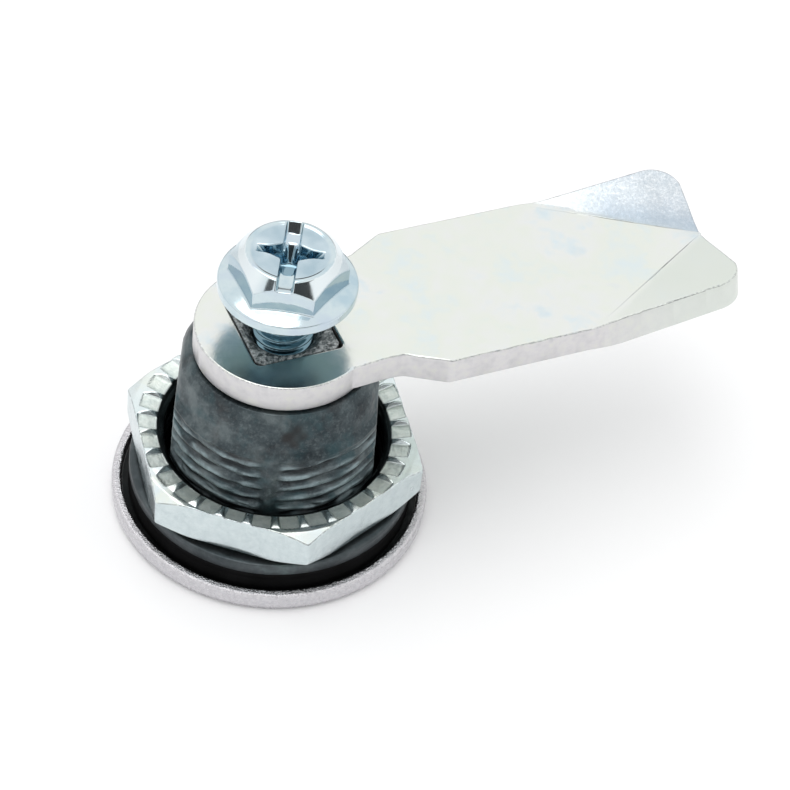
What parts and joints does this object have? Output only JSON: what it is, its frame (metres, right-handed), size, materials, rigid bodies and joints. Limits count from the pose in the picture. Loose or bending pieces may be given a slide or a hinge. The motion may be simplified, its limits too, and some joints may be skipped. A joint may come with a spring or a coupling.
{
  "type": "quarter-turn cam latch",
  "caption": "Quarter-turn latch: round flanged housing with threaded barrel, gasket, washer, serrated hexagon nut, rotor, bent steel cam and flanged cam screw.",
  "frame": {"origin": "centre of the flange's front face, on the lock axis", "axes": "+Z along the lock axis from the front face towards the cam; +X across the barrel's flats, where the closed cam points; +Y where the cam points when opened"},
  "size_m": [0.0609, 0.0426, 0.0335],
  "materials": {
    "housing_zinc": "raw die-cast zinc barrel, satin chrome flange",
    "gasket_rubber": "matte",
    "washer_steel": "dark phosphate",
    "nut_zinc": "blue-white zinc plate",
    "rotor_zinc": "raw die-cast zinc",
    "oring_rubber": "greased",
    "spring_steel": "bright",
    "cam_steel": "iridescent zinc plate",
    "screw_steel": "glossy blue-white zinc plate"
  },
  "bodies": {
    "housing": {"housing": "housing_zinc", "gasket": "gasket_rubber", "flat_washer": "washer_steel", "disc_spring": "spring_steel"},
    "rotor": {"rotor": "rotor_zinc", "rotor_oring": "oring_rubber", "thrust_washer": "spring_steel", "snap_ring": "spring_steel", "cam": "cam_steel"},
    "nut": {"mounting_nut": "nut_zinc"},
    "screw": {"cam_screw": "screw_steel"}
  },
  "joints": [
    {"name": "cam_turn", "type": "hinge", "parent": "housing", "child": "rotor", "pos_m": [0, 0, 0.0208], "axis": [0, 0, 1], "range_deg": [-24.5, 65.5]},
    {"name": "nut_run", "type": "slide", "parent": "housing", "child": "nut", "axis": [0, 0, 1], "range_m": [-0.0005, 0.0105]},
    {"name": "screw_run", "type": "slide", "parent": "rotor", "child": "screw", "axis": [0, 0, -1], "range_m": [-0.006, 0.005]}
  ]
}
